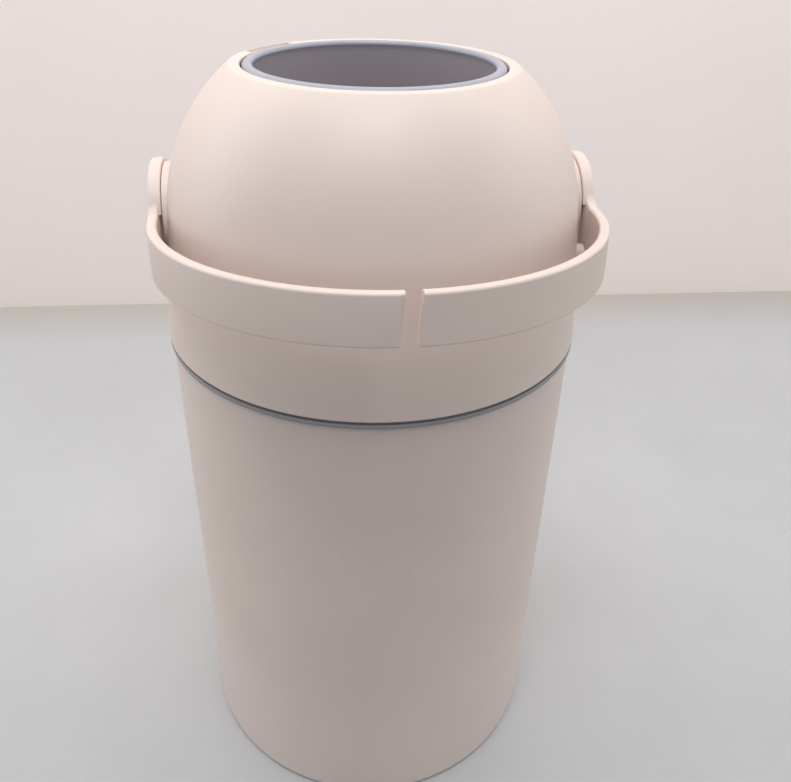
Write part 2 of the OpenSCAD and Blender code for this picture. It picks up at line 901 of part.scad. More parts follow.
// Half of the piston: a dished face, a nose that passes the rim ring, a skirt, and a seat for the weight
module piston_cup() {
    half = piston_len / 2;
    seat_w = 3;
    seat_r = weight_r - 6;
    collar_w = 2;
    collar_low = 2;
    dish = 3;
    dish_w = 12;
    land_w = 10;
    edge = 1.5;
    step = half - nose_h;
    mouth = wiper_h / 2;
    groove_r = piston_r - wiper_w;
    face_in = half - dish - piston_wall;
    union() {
        rotate_extrude($fn = 128)
            polygon(concat(
                [[0, half - dish], [piston_nose_r - land_w - dish_w, half - dish], [piston_nose_r - land_w, half]],
                arc([piston_nose_r - edge, half - edge], edge, 90, 0, 4),
                [[piston_nose_r, step], [piston_r, step], [piston_r, mouth], [groove_r, mouth], [groove_r, 0],
                 [groove_r - piston_wall, 0], [groove_r - piston_wall, face_in], [0, face_in]]));
        ring(seat_r, seat_r + seat_w, weight_t / 2, face_in + cut / 2);
        ring(weight_r + 2 * fit, weight_r + 2 * fit + collar_w, collar_low, face_in + cut / 2);
    }
}

module at_piston() {
    translate([0, 0, pivot_z + piston_mid])
        children();
}

module piston_cup_upper() {
    color(grey_dark)
        at_piston()
            piston_cup();
}

module piston_cup_lower() {
    color(grey_dark)
        at_piston()
            mirror([0, 0, 1])
                piston_cup();
}

module piston_weight() {
    color(steel)
        at_piston()
            translate([0, 0, -weight_t / 2])
                cylinder(r = weight_r, h = weight_t);
}

module piston_wiper() {
    wiper_proud = 0.1;
    color(rubber)
        at_piston()
            ring(piston_r - wiper_w + fit, piston_r + wiper_proud, -wiper_h / 2, wiper_h / 2);
}

bucket();
bag_ring();
top_housing();
upper_seal();
pivot_bush_left();
pivot_bush_right();
drum_cradle();
lower_seal();
seam_gasket();
cradle_screws();
drum_shell_upper();
drum_shell_lower();
drum_liner();
rim_ring_upper();
rim_ring_lower();
drum_screws();
trunnion_left();
trunnion_right();
handle_left();
handle_right();
handle_screws();
ear_cover_left();
ear_cover_right();
piston_cup_upper();
piston_cup_lower();
piston_weight();
piston_wiper();
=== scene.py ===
"""Diaper pail: the visible pieces, their materials, the stage and the camera, laid out as a Blender add-on."""
import math

import bmesh
import bpy
from mathutils import Matrix, Vector


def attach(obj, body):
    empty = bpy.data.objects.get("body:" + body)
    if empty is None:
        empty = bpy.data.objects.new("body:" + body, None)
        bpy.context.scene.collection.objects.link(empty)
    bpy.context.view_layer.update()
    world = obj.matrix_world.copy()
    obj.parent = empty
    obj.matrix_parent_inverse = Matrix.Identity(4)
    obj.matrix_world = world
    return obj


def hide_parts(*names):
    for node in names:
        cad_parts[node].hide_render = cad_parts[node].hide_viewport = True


bl_info = {
    "name": "Diaper pail",
    "version": (1, 0, 0),
    "blender": (4, 5, 0),
    "location": "View3D > Sidebar > Pail",
    "description": "Makes a diaper pail with a turning drum, piece by piece, on its packed frame",
    "category": "Object",
}

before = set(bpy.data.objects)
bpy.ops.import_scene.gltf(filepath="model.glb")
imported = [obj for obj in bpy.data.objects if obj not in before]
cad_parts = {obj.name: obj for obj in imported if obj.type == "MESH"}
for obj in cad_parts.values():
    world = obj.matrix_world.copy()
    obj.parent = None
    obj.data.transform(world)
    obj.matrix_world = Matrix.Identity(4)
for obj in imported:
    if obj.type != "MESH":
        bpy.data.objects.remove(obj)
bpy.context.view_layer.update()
MM = 0.001

# How far a helper shape reaches past the face that it cuts or joins
PAST = 1 * MM
# Sides of the large round pieces, and of the bosses and flats at the pivots
SIDES = 256
BOSS_SIDES = 128
# Pixels of the photograph, and the camera's sensor in millimetres
PHOTO_WIDTH = 791.0
PHOTO_HEIGHT = 782.0
SENSOR = 36.0

# Light from all round
WORLD_COLOUR = (1.0, 0.985, 0.97, 1.0)
WORLD_STRENGTH = 0.249

# Lamps: name, watts, tint, width and height, place and aim, in metres before the stage is turned
WHITE = (1.0, 1.0, 1.0)
COOL = (0.55, 0.82, 1.0)
LAMPS = (
    ("Ceiling", 15.1, WHITE, 1.0, 0.8, (0.0, -0.6, 2.1), (0.0, 0.0, 0.4)),
    ("WallWash", 9.2, WHITE, 2.8, 0.3, (0.0, 0.28, 1.6), (0.0, 0.72, 0.5)),
    ("Left", 12.5, WHITE, 1.4, 1.4, (-1.6, 0.30, 0.9), (0.0, 0.0, 0.3)),
    ("Right", 8.0, WHITE, 1.4, 1.4, (1.6, 0.30, 0.9), (0.0, 0.0, 0.3)),
    ("Front", 2.9, WHITE, 1.2, 0.8, (0.0, -1.15, 1.85), (0.0, 0.0, 0.4)),
    ("Fill", 1.0, COOL, 0.7, 0.3, (0.0, -1.3, 0.75), (0.0, 0.0, 0.42)),
)


# Property makers

def length(name, text, value_mm):
    """A length property whose default is given in millimetres."""
    return bpy.props.FloatProperty(
        name=name, description=text, default=value_mm * MM, min=0.0, max=2.0,
        unit="LENGTH", subtype="DISTANCE", precision=5)


def plain(name, text, value):
    """A plain number."""
    return bpy.props.FloatProperty(name=name, description=text, default=value)


def angle(name, text, degrees):
    """An angle property whose default is given in degrees."""
    return bpy.props.FloatProperty(
        name=name, description=text, default=math.radians(degrees), min=-math.pi, max=2 * math.pi,
        unit="ROTATION", subtype="ANGLE")


def colour(name, text, rgb):
    """A colour property."""
    return bpy.props.FloatVectorProperty(
        name=name, description=text, default=rgb, size=3, min=0.0, max=1.0, subtype="COLOR")


def count(name, text, value):
    """A whole number of repeats."""
    return bpy.props.IntProperty(name=name, description=text, default=value, min=1, max=64)


# Sizes and colours

class PailBucketSettings(bpy.types.PropertyGroup):
    """Sizes of the bucket"""
    height: length("Height", "Height of the rim above the floor", 356)
    rim_radius: length("Rim radius", "Outer radius at the rim", 139.5)
    foot_radius: length("Foot radius", "Outer radius at the foot", 137.5)
    wall: length("Wall", "Thickness of the wall", 2.8)
    rim_edge: length("Rim edge", "Rounding of the rim's outer edge", 0.9)
    floor_rise: length("Floor rise", "Height of the floor's underside", 8)
    floor_thickness: length("Floor thickness", "Thickness of the floor", 3)
    floor_corner: length("Floor corner", "Rounding inside, between floor and wall", 8)
    foot_edge: length("Foot edge", "Rounding of the foot's outer edge", 5)
    foot_ring: length("Foot ring", "Width of the ring that meets the floor", 9)
    hub_radius: length("Hub radius", "Inner radius of the hub under the floor", 8)
    hub_wall: length("Hub wall", "Thickness of that hub", 3.5)
    hub_low: length("Hub low", "Lower edge of that hub", 1.5)
    rib_low: length("Rib low", "Lower edge of the ribs under the floor", 2)
    rib_thickness: length("Rib thickness", "Thickness of the ribs under the floor", 2)
    rib_count: count("Ribs", "Number of ribs under the floor", 12)


class PailRingSettings(bpy.types.PropertyGroup):
    """Sizes of the bag ring"""
    flange: length("Flange", "Height of the edge that shows at the seam", 3.5)
    edge: length("Edge", "Rounding of the edge at the seam", 0.6)
    radius: length("Radius", "Outer radius of the flange", 141.2)
    step_depth: length("Step depth", "Depth of the shadow groove above the edge", 2.2)
    step_height: length("Step height", "Height of the shadow groove above the edge", 1.1)
    throat_radius: length("Throat", "Inner radius of the straight throat", 122.6)
    throat_depth: length("Throat depth", "Depth of the straight throat", 11)
    wall: length("Wall", "Thickness of the ring's walls", 2.5)
    hole_radius: length("Hole", "Radius of the hole for the bag's mouth", 100)
    funnel_depth: length("Funnel", "Height of the funnel", 17)
    skirt_radius: length("Skirt", "Outer radius of the skirt in the bucket", 136)
    skirt_depth: length("Skirt depth", "Depth of the skirt", 8)


class PailTopSettings(bpy.types.PropertyGroup):
    """Sizes of the domed top"""
    seam: length("Seam", "Height of the top's lower edge", 360.5)
    height: length("Height", "Height of the top", 169.3)
    collar_radius: length("Collar", "Outer radius at the lower edge", 141.4)
    shoulder_radius: length("Shoulder", "Outer radius where the collar runs into the dome", 133.2)
    shoulder_height: length("Shoulder height", "Height of that line above the lower edge", 86)
    wall: length("Wall", "Thickness of the wall", 3)
    lower_edge: length("Lower edge", "Rounding of the lower edge", 0.9)
    opening_radius: length("Opening", "Radius of the round opening", 81.7)
    lip_radius: length("Lip", "Outer radius of the flat lip round the opening", 90.6)
    lip_round: length("Lip rounding", "Rounding between the lip and the dome", 3)
    lip_edge: length("Lip edge", "Rounding of the opening's edge", 0.8)
    lip_thickness: length("Lip thickness", "Thickness of the lip", 3.4)
    notch_depth: length("Notch depth", "Depth of the notch in the lip", 2.2)
    notch_radius: length("Notch", "Outer radius of the notch in the lip", 87.23)
    notch_from: angle("Notch from", "Where the notch starts", 127)
    notch_sweep: angle("Notch sweep", "How far the notch runs", 29)
    boss_radius: length("Boss", "Radius of each pivot boss", 30)
    boss_reach: length("Boss reach", "How far each boss reaches out", 133.1)
    boss_root: length("Boss root", "Where each boss starts", 125.1)
    flat_radius: length("Flat", "Radius of the flat round each boss", 41)
    backing: length("Backing", "Half the width of the wall's backing behind the flat's lower part", 26)
    tube_radius: length("Tube", "Radius of the bearing tube", 19)
    tube_in: length("Tube end", "Where the bearing tube starts", 122.1)
    bush_radius: length("Bush", "Radius of the bush in the tube", 14.1)
    lug_at: length("Lug place", "How far in front of the axis each rest lug lies", 41)
    lug_radius: length("Lug radius", "Radius of the lug's round end", 6)
    lug_drop: length("Lug drop", "How far the lug's round end lies below the axis", 22)
    lug_height: length("Lug height", "Height of the lug below its round end", 14)


class PailDrumSettings(bpy.types.PropertyGroup):
    """Sizes of the drum's liner and rim rings"""
    pivot: length("Pivot", "Height of the handle's axis", 439.2)
    bore_radius: length("Bore", "Radius of the liner's bore", 75.23)
    liner_wall: length("Liner wall", "Thickness of the liner", 2.4)
    liner_end: length("Liner end", "Distance from the axis to the liner's ends", 85.5)
    shell_end: length("Shell end", "Distance from the axis to the shells' flat ends", 82)
    ring_in: length("Ring inside", "Inner radius of the rim rings", 74.03)
    ring_out: length("Ring outside", "Outer radius of the rim rings", 80.63)
    ring_height: length("Ring height", "Height of the rim rings above the liner", 5.8)
    liner_lip: length("Liner lip", "How far the liner's collar reaches up inside the rim rings", 3.3)
    ring_round: length("Ring rounding", "Outer rounding of the rim rings", 3)
    ring_inner_round: length("Inner rounding", "Inner rounding of the rim rings", 2.4)
    fit: length("Fit", "Gap round clamped pieces", 0.1)


class PailHandleSettings(bpy.types.PropertyGroup):
    """Sizes of the bow handle"""
    bow_radius: length("Bow radius", "Radius of the bow's middle line", 138.0)
    forward: length("Forward", "Length of the straight arms in front of the axis", 33.5)
    thickness: length("Thickness", "Thickness of the band", 6.2)
    height: length("Height", "Height of the band", 28.8)
    drop: length("Drop", "How far the band's middle lies below the axis", 9.4)
    lift: angle("Lift", "How far the bow rises to the front", 4.2)
    top_round: length("Top rounding", "Rounding of the band's upper edges", 1.7)
    low_round: length("Lower rounding", "Rounding of the band's lower edges", 1.2)
    gap: length("Gap", "Gap between the two halves", 8.6)
    split_lean: angle("Split lean", "How far the split leans to the side", 4)
    split_reach: length("Split reach", "Length of band over which that lean fades", 24)
    ear_in: length("Ear inside", "Inner face of the ear", 133.5)
    ear_out: length("Ear outside", "Outer face of the ear", 141.5)
    ear_radius: length("Ear radius", "Radius of the ear", 32.5)
    ear_round: length("Ear rounding", "Rounding of the ear's edge", 2.5)
    blend_radius: length("Blend", "Radius of the blend between the band's top and the ear", 12)
    relief_from: length("Relief", "How far in front of the axis the ear's inner face steps back", 26)
    cover_radius: length("Cover", "Radius of the cover on the ear", 13)
    cover_depth: length("Cover depth", "Depth of its recess", 2.6)
    hex_width: length("Hexagon", "Width across the flats of the shaft's end", 17.2)
    hex_depth: length("Hexagon depth", "Depth of the socket in the ear", 3.4)


class PailFastenerSettings(bpy.types.PropertyGroup):
    """Sizes and places of the screws"""
    shank: length("Shank", "Radius of a screw's shank", 1.9)
    head: length("Head", "Radius of a screw's head", 3.6)
    head_height: length("Head height", "Height of a screw's head", 2.4)
    cradle_at: length("Cradle screws", "Distance of the cradle's screws from the axis", 130.4)
    cradle_z: length("Cradle screws' seat", "Height of the cradle screws' seat", 363.5)
    cradle_length: length("Cradle screw length", "Length of a cradle screw", 17)
    cradle_count: count("Cradle screws", "Number of the cradle's screws", 6)
    drum_at: length("Drum screws", "Distance of the drum's screws from the axis", 98)
    drum_z: length("Drum screws' seat", "Height of the drum screws' seat", 429.2)
    drum_length: length("Drum screw length", "Length of a drum screw", 24)
    drum_count: count("Drum screws", "Number of the drum's screws", 4)


class PailFinishSettings(bpy.types.PropertyGroup):
    """Colours of the pail"""
    cream: colour("Cream", "Colour of the bucket, the top and the handle", (0.782, 0.662, 0.608))
    drum: colour("Drum", "Colour of the drum's shells", (0.62, 0.52, 0.46))
    ring: colour("Ring", "Colour of the rim rings", (0.385, 0.395, 0.455))
    bag_ring: colour("Bag ring", "Colour of the bag ring", (0.31, 0.30, 0.32))
    liner: colour("Liner", "Colour of the liner, the piston and the cradle", (0.37, 0.335, 0.365))
    rubber: colour("Rubber", "Colour of the seals", (0.045, 0.043, 0.046))
    steel: colour("Steel", "Colour of the steel pieces", (0.56, 0.56, 0.57))
    cream_roughness: plain("Cream roughness", "Roughness of the cream plastic", 0.44)


class PailStageSettings(bpy.types.PropertyGroup):
    """The camera, the floor and the wall"""
    focal_px: plain("Focal length", "In pixels of the photograph", 789.0)
    row_px: plain("Axis row", "Row where the camera's axis meets the image", 351.0)
    pitch: plain("Pitch", "Degrees that the camera looks down", 30.13)
    roll: plain("Roll", "Degrees that the camera leans", 1.45)
    turn: plain("Turn", "Degrees that the pail is turned to the camera", 8.15)
    across: length("Across", "Camera to the right of the pail's axis", 16.94)
    back: length("Back", "Camera in front of the pail's axis", 505)
    up: length("Up", "Camera above the floor", 619.1)
    wall_back: length("Wall", "Distance from the pail's axis to the wall behind it", 743)
    # Painted shade: a strip of floor along the wall's foot is painted darker, for the shade in the corner
    wall_shade: length("Wall shade", "Width of the darker strip of floor along the wall", 130)
    wall_turn: plain("Wall turn", "Degrees that the wall runs away to the right", 5.9)
    floor: colour("Floor", "Colour of the floor", (0.495, 0.503, 0.513))
    # Painted shade: a darker, warmer floor colour towards the camera, standing in for the shade on the floor before the
    # pail
    floor_front_shade: colour("Floor in front", "Colour of the floor before the camera", (0.26, 0.225, 0.20))
    # Painted shade: the floor's colour right at the wall, darker for the shade in the corner
    floor_wall_shade: colour("Floor edge", "Colour of the floor right at the wall", (0.46, 0.43, 0.39))
    wall: colour("Wall colour", "Colour of the wall", (0.95, 0.862, 0.835))


# Shader and geometry trees

class Wire:
    """A socket in a shader tree whose arithmetic adds Math nodes."""

    def __init__(self, tree, socket):
        self.tree = tree
        self.socket = socket

    def __add__(self, other):
        return self.tree.node("ShaderNodeMath", {"operation": "ADD"}, {0: self, 1: other})

    def __mul__(self, other):
        return self.tree.node("ShaderNodeMath", {"operation": "MULTIPLY"}, {0: self, 1: other})


def set_inputs(tree, node, inputs):
    """Puts each value on its socket, or links it. A node stands for its first output."""
    for key, value in inputs.items():
        socket = node.inputs[key]
        if isinstance(value, Wire):
            tree.links.new(value.socket, socket)
        elif isinstance(value, bpy.types.NodeSocket):
            tree.links.new(value, socket)
        elif isinstance(value, bpy.types.Node):
            tree.links.new(value.outputs[0], socket)
        else:
            socket.default_value = value


def add_node(tree, kind, settings, inputs):
    """Adds a node: its settings first, then its sockets."""
    made = tree.nodes.new(kind)
    for key, value in (settings or {}).items():
        setattr(made, key, value)
    set_inputs(tree, made, inputs or {})
    return made


class Finish:
    """A material with its own node tree and one Principled shader."""

    def __init__(self, name):
        self.material = bpy.data.materials.new(name)
        self.material.use_nodes = True
        self.tree = self.material.node_tree
        self.tree.nodes.clear()
        self.out = self.tree.nodes.new("ShaderNodeOutputMaterial")
        self.place = self.node("ShaderNodeTexCoord", {}, {}, "Object")

    def node(self, kind, settings=None, inputs=None, output=0):
        """Adds a node and gives one of its outputs."""
        return Wire(self, add_node(self.tree, kind, settings, inputs).outputs[output])

    def noise(self, scale, detail=2.0, roughness=0.5, stretch=(1.0, 1.0, 1.0)):
        """Smooth noise from 0 to 1 on the object's own place, with scale per metre."""
        mapped = self.node("ShaderNodeMapping", {}, {"Vector": self.place, "Scale": stretch})
        return self.node("ShaderNodeTexNoise", {"noise_dimensions": "3D"},
                         {"Vector": mapped, "Scale": scale, "Detail": detail, "Roughness": roughness})

    def distance(self, way):
        """How far the object's own place lies along a direction."""
        return self.node("ShaderNodeVectorMath", {"operation": "DOT_PRODUCT"}, {0: self.place, 1: way}, "Value")

    def ramp(self, value, low, high, to_low=0.0, to_high=1.0):
        """value from low to high, mapped on to_low to to_high and held there."""
        return self.node("ShaderNodeMapRange", {"clamp": True},
                         {"Value": value, "From Min": low, "From Max": high, "To Min": to_low, "To Max": to_high})

    def blend(self, mask, a, b):
        """Colour a where mask is 0 and b where it is 1."""
        made = self.tree.nodes.new("ShaderNodeMix")
        made.data_type = "RGBA"
        sockets = {s.identifier: s for s in made.inputs}
        for key, value in (("Factor_Float", mask), ("A_Color", a), ("B_Color", b)):
            if isinstance(value, Wire):
                self.tree.links.new(value.socket, sockets[key])
            else:
                sockets[key].default_value = value
        return Wire(self, next(s for s in made.outputs if s.identifier == "Result_Color"))

    def bump(self, height, strength, distance, normal=None):
        """A bump from a height, on top of another normal if one is given."""
        inputs = {"Height": height, "Strength": strength, "Distance": distance}
        if normal is not None:
            inputs["Normal"] = normal
        return self.node("ShaderNodeBump", {}, inputs)

    def surface(self, **inputs):
        """The Principled shader and its sockets, with _ for the spaces in their names."""
        shader = self.tree.nodes.new("ShaderNodeBsdfPrincipled")
        set_inputs(self.tree, shader, {key.replace("_", " "): value for key, value in inputs.items()})
        self.tree.links.new(shader.outputs[0], self.out.inputs["Surface"])
        return self.material


def rgba(rgb, gain=1.0):
    """A colour with its brightness changed by gain."""
    return tuple(min(1.0, c * gain) for c in rgb) + (1.0,)


class GeometryTree:
    """A Geometry Nodes tree built in the script. Its inputs are a geometry, named numbers and a material."""

    def __init__(self, name, numbers):
        self.tree = bpy.data.node_groups.new(name, "GeometryNodeTree")
        self.tree.interface.new_socket("Geometry", in_out="INPUT", socket_type="NodeSocketGeometry")
        self.tree.interface.new_socket("Geometry", in_out="OUTPUT", socket_type="NodeSocketGeometry")
        self.names = {}
        for asked, kind in numbers + [("Material", "NodeSocketMaterial")]:
            socket = self.tree.interface.new_socket(asked, in_out="INPUT", socket_type=kind)
            self.names[asked] = socket.identifier
        self.entry = self.tree.nodes.new("NodeGroupInput")
        self.exit = self.tree.nodes.new("NodeGroupOutput")

    def given(self, name):
        """The socket of a named input."""
        return self.entry.outputs[name]

    def node(self, kind, settings=None, inputs=None):
        """Adds a node."""
        return add_node(self.tree, kind, settings, inputs)

    def vector(self, **parts):
        """A vector of the given parts, the others 0."""
        return self.node("ShaderNodeCombineXYZ", {}, parts)

    def finish(self, geometry):
        """Realizes the instances, sets the material and ends the tree."""
        real = self.node("GeometryNodeRealizeInstances", {}, {0: geometry})
        painted = self.node("GeometryNodeSetMaterial", {}, {"Geometry": real, "Material": self.given("Material")})
        set_inputs(self.tree, self.exit, {0: painted})

    def run(self, obj, values):
        """Runs the tree on an object and leaves a plain mesh."""
        modifier = obj.modifiers.new(self.tree.name, "NODES")
        modifier.node_group = self.tree
        for name, value in values.items():
            modifier[self.names[name]] = value
        return bake(obj)


def bake(obj):
    """Turns an object's evaluated mesh into its plain mesh and removes its modifiers."""
    bpy.context.view_layer.update()
    graph = bpy.context.evaluated_depsgraph_get()
    mesh = bpy.data.meshes.new_from_object(obj.evaluated_get(graph), preserve_all_data_layers=True, depsgraph=graph)
    obj.modifiers.clear()
    old = obj.data
    obj.data = mesh
    if old.users == 0:
        bpy.data.meshes.remove(old)
    mesh.name = obj.name
    return obj


def ring_tree():
    """Repeats its geometry evenly round the pail's axis."""
    tree = GeometryTree("RepeatRoundAxis", [("Count", "NodeSocketInt"), ("First Angle", "NodeSocketFloat")])
    points = tree.node("GeometryNodePoints", {}, {"Count": tree.given("Count")})
    index = tree.node("GeometryNodeInputIndex")
    share = tree.node("ShaderNodeMath", {"operation": "DIVIDE"}, {0: index, 1: tree.given("Count")})
    turn = tree.node("ShaderNodeMath", {"operation": "MULTIPLY_ADD"},
                     {0: share, 1: 2 * math.pi, 2: tree.given("First Angle")})
    copies = tree.node("GeometryNodeInstanceOnPoints", {},
                       {"Points": points, "Instance": tree.given("Geometry"), "Rotation": tree.vector(Z=turn)})
    tree.finish(copies)
    return tree


def band_tree():
    """Sweeps a rounded band along its geometry's edges and leans it about the pivot."""
    numbers = ("Thickness", "Height", "Top Rounding", "Lower Rounding", "Drop", "Pivot", "Lean")
    tree = GeometryTree("HandleBand", [(name, "NodeSocketFloat") for name in numbers])
    path = tree.node("GeometryNodeMeshToCurve", {}, {0: tree.given("Geometry")})
    upright = tree.node("GeometryNodeSetCurveNormal", {"mode": "Z_UP"}, {0: path})
    block = tree.node("GeometryNodeCurvePrimitiveQuadrilateral", {"mode": "RECTANGLE"},
                      {"Width": tree.given("Thickness"), "Height": tree.given("Height")})
    parts = tree.node("ShaderNodeSeparateXYZ", {}, {0: tree.node("GeometryNodeInputPosition")})
    # The section's Y points down once it is on the path
    low_side = tree.node("FunctionNodeCompare", {"data_type": "FLOAT", "operation": "GREATER_THAN"},
                         {0: parts.outputs["Y"], 1: 0.0})
    radius = tree.node("GeometryNodeSwitch", {"input_type": "FLOAT"},
                       {"Switch": low_side, "False": tree.given("Top Rounding"), "True": tree.given("Lower Rounding")})
    section = tree.node("GeometryNodeFilletCurve", {"mode": "POLY"}, {"Curve": block, "Radius": radius, "Count": 7})
    swept = tree.node("GeometryNodeCurveToMesh", {}, {"Curve": upright, "Profile Curve": section, "Fill Caps": True})
    down = tree.node("ShaderNodeMath", {"operation": "MULTIPLY"}, {0: tree.given("Drop"), 1: -1.0})
    low = tree.node("GeometryNodeTransform", {}, {"Geometry": swept, "Translation": tree.vector(Z=down),
                                                 "Rotation": tree.vector(X=tree.given("Lean"))})
    tree.finish(tree.node("GeometryNodeTransform", {},
                          {"Geometry": low, "Translation": tree.vector(Z=tree.given("Pivot"))}))
    return tree


# Mesh makers

def arc(centre, radius, start, end, steps):
    """Points of an arc in a profile, angles in degrees."""
    points = []
    for i in range(steps + 1):
        a = math.radians(start + (end - start) * i / steps)
        points.append((centre[0] + radius * math.cos(a), centre[1] + radius * math.sin(a)))
    return points


def linked(name, data):
    """A new object in the scene with its mesh, lamp or camera."""
    obj = bpy.data.objects.new(name, data)
    bpy.context.scene.collection.objects.link(obj)
    return obj


def from_bmesh(name, bm):
    """A new object with the bmesh's faces. The bmesh is freed."""
    mesh = bpy.data.meshes.new(name)
    bm.to_mesh(mesh)
    bm.free()
    return linked(name, mesh)


def new_object(name, bm):
    """A new object with the bmesh's faces, normals outwards."""
    bmesh.ops.remove_doubles(bm, verts=bm.verts, dist=1e-7)
    bmesh.ops.recalc_face_normals(bm, faces=bm.faces)
    return from_bmesh(name, bm)


def turned(name, profile, steps=192, along_x=False, sweep=2 * math.pi, start=0.0):
    """A closed profile of (radius, height) turned about Z, or about X with height along X."""
    bm = bmesh.new()
    whole = sweep > 2 * math.pi - 1e-6
    rings = []
    poles = {}
    for i in range(steps if whole else steps + 1):
        a = start + sweep * i / steps
        ring = []
        for j, (r, h) in enumerate(profile):
            if r < 1e-7:
                if j not in poles:
                    poles[j] = bm.verts.new((h, 0, 0) if along_x else (0, 0, h))
                ring.append(poles[j])
            else:
                point = (h, r * math.cos(a), r * math.sin(a)) if along_x else (r * math.cos(a), r * math.sin(a), h)
                ring.append(bm.verts.new(point))
        rings.append(ring)
    pairs = list(zip(rings, rings[1:])) + ([(rings[-1], rings[0])] if whole else [])
    n = len(profile)
    for first, second in pairs:
        for j in range(n):
            face = []
            for v in (first[j], second[j], second[(j + 1) % n], first[(j + 1) % n]):
                if v not in face:
                    face.append(v)
            if len(face) > 2:
                bm.faces.new(face)
    if not whole:
        bm.faces.new(rings[0])
        bm.faces.new(list(reversed(rings[-1])))
    return new_object(name, bm)


def box(name, low, high):
    """A block between two corners."""
    bm = bmesh.new()
    bmesh.ops.create_cube(bm, size=1.0)
    low, high = Vector(low), Vector(high)
    for v in bm.verts:
        v.co = Vector([low[k] + (v.co[k] + 0.5) * (high[k] - low[k]) for k in range(3)])
    return new_object(name, bm)


def rod(name, radius, x0, x1, steps=96, at=(0.0, 0.0)):
    """A cylinder along X from x0 to x1 through (y, z) = at."""
    obj = turned(name, [(0, x0), (radius, x0), (radius, x1), (0, x1)], steps, along_x=True)
    obj.data.transform(Matrix.Translation((0, at[0], at[1])))
    return obj


def mirrored(obj, name):
    """A copy of an object, turned over to the other side."""
    mesh = obj.data.copy()
    mesh.transform(Matrix.Scale(-1, 4, (1, 0, 0)))
    mesh.flip_normals()
    mesh.name = name
    return linked(name, mesh)


def drop_object(obj):
    """Removes a helper object and its mesh."""
    mesh = obj.data
    bpy.data.objects.remove(obj)
    if mesh.users == 0:
        bpy.data.meshes.remove(mesh)


def joined(name, objects):
    """One object with all the faces of several, which are removed."""
    bm = bmesh.new()
    for obj in objects:
        bm.from_mesh(obj.data)
        drop_object(obj)
    return from_bmesh(name, bm)


def combine(obj, operation, others):
    """Adds or cuts other closed shapes, which are removed."""
    for other in others:
        modifier = obj.modifiers.new(operation, "BOOLEAN")
        modifier.operation = operation
        modifier.solver = "MANIFOLD"
        modifier.object = other
    bake(obj)
    for other in others:
        drop_object(other)
    return obj


def smooth(obj, degrees=32.0):
    """Smooth shading with crisp edges above an angle, weighted by face area."""
    mesh = obj.data
    mesh.shade_smooth()
    mesh.set_sharp_from_angle(angle=math.radians(degrees))
    modifier = obj.modifiers.new("Weighted", "WEIGHTED_NORMAL")
    modifier.keep_sharp = True
    modifier.weight = 80
    return bake(obj)


def merged_copy(name, node):
    """A copy of a CAD node with its loose triangles merged and smoothed."""
    bm = bmesh.new()
    bm.from_mesh(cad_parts[node].data)
    bmesh.ops.remove_doubles(bm, verts=bm.verts, dist=2e-6)
    return smooth(from_bmesh(name, bm))


def place_piece(obj, body, nodes, finish):
    """Gives a finished piece its material and its body, and hides the CAD nodes that it stands for."""
    obj.data.materials.clear()
    obj.data.materials.append(FINISHES[finish])
    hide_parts(*nodes)
    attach(obj, body)


def place_copies(body, *rows):
    """Pieces that keep the shape of their CAD node. Each row has a name, a node and a finish."""
    for name, node, finish in rows:
        place_piece(merged_copy(name, node), body, [node], finish)


# Finishes

# Materials by name. In their makers a noise's scale is per metre and a bump's distance is in metres
FINISHES = {}


def moulded(name, rgb, roughness, grain=0.35, tone=0.03, scuff=0.0):
    """Injection-moulded plastic: fine spark grain, faint flow marks, a little dust and handling wear."""
    f = Finish(name)
    clouds = f.noise(9.0, 3.0)
    specks = f.noise(900.0, 2.0, 0.6)
    flow = f.noise(26.0, 4.0, 0.55, (1.0, 1.0, 0.35))
    hairs = f.noise(150.0, 3.0, 0.7, (1.0, 1.0, 0.06))
    shade = f.ramp(clouds, 0.3, 0.7)
    base = f.blend(shade, rgba(rgb, 1.0 - tone), rgba(rgb, 1.0 + tone))
    dust = f.ramp(specks, 0.68, 0.82, 0.0, 0.10)
    base = f.blend(dust, base, rgba((0.93, 0.90, 0.87)))
    marks = f.ramp(hairs, 0.66, 0.76) * f.ramp(clouds, 0.45, 0.62)
    base = f.blend(marks * scuff, base, rgba(rgb, 0.80))
    rough = f.ramp(flow, 0.25, 0.75, roughness - 0.05, roughness + 0.05) + marks * 0.08
    fine = f.noise(2600.0, 1.0)
    wavy = f.noise(60.0, 1.0)
    normal = f.bump(fine, grain, 0.00008)
    normal = f.bump(wavy, 0.05, 0.0012, normal)
    return f.surface(Base_Color=base, Roughness=rough, Normal=normal, IOR=1.5)


def rubbered(name, rgb):
    """Soft matt seal rubber with a dusty bloom."""
    f = Finish(name)
    bloom = f.ramp(f.noise(70.0, 4.0, 0.6), 0.4, 0.75, 0.0, 0.35)
    base = f.blend(bloom, rgba(rgb), rgba((0.12, 0.115, 0.11)))
    rough = f.ramp(f.noise(240.0, 2.0), 0.3, 0.7, 0.66, 0.86)
    return f.surface(Base_Color=base, Roughness=rough, Normal=f.bump(f.noise(1500.0, 2.0), 0.3, 0.0001))


def plated(name, rgb):
    """Zinc-plated steel with fine turning marks and a cloudy passivation."""
    f = Finish(name)
    lines = f.noise(1400.0, 2.0, 0.6, (0.05, 1.0, 1.0))
    cloud = f.ramp(f.noise(45.0, 4.0), 0.3, 0.7)
    base = f.blend(cloud, rgba(rgb, 0.9), rgba((0.66, 0.64, 0.58)))
    rough = f.ramp(lines, 0.3, 0.7, 0.26, 0.42)
    return f.surface(Base_Color=base, Metallic=1.0, Roughness=rough, Normal=f.bump(lines, 0.2, 0.00005))


# Operators

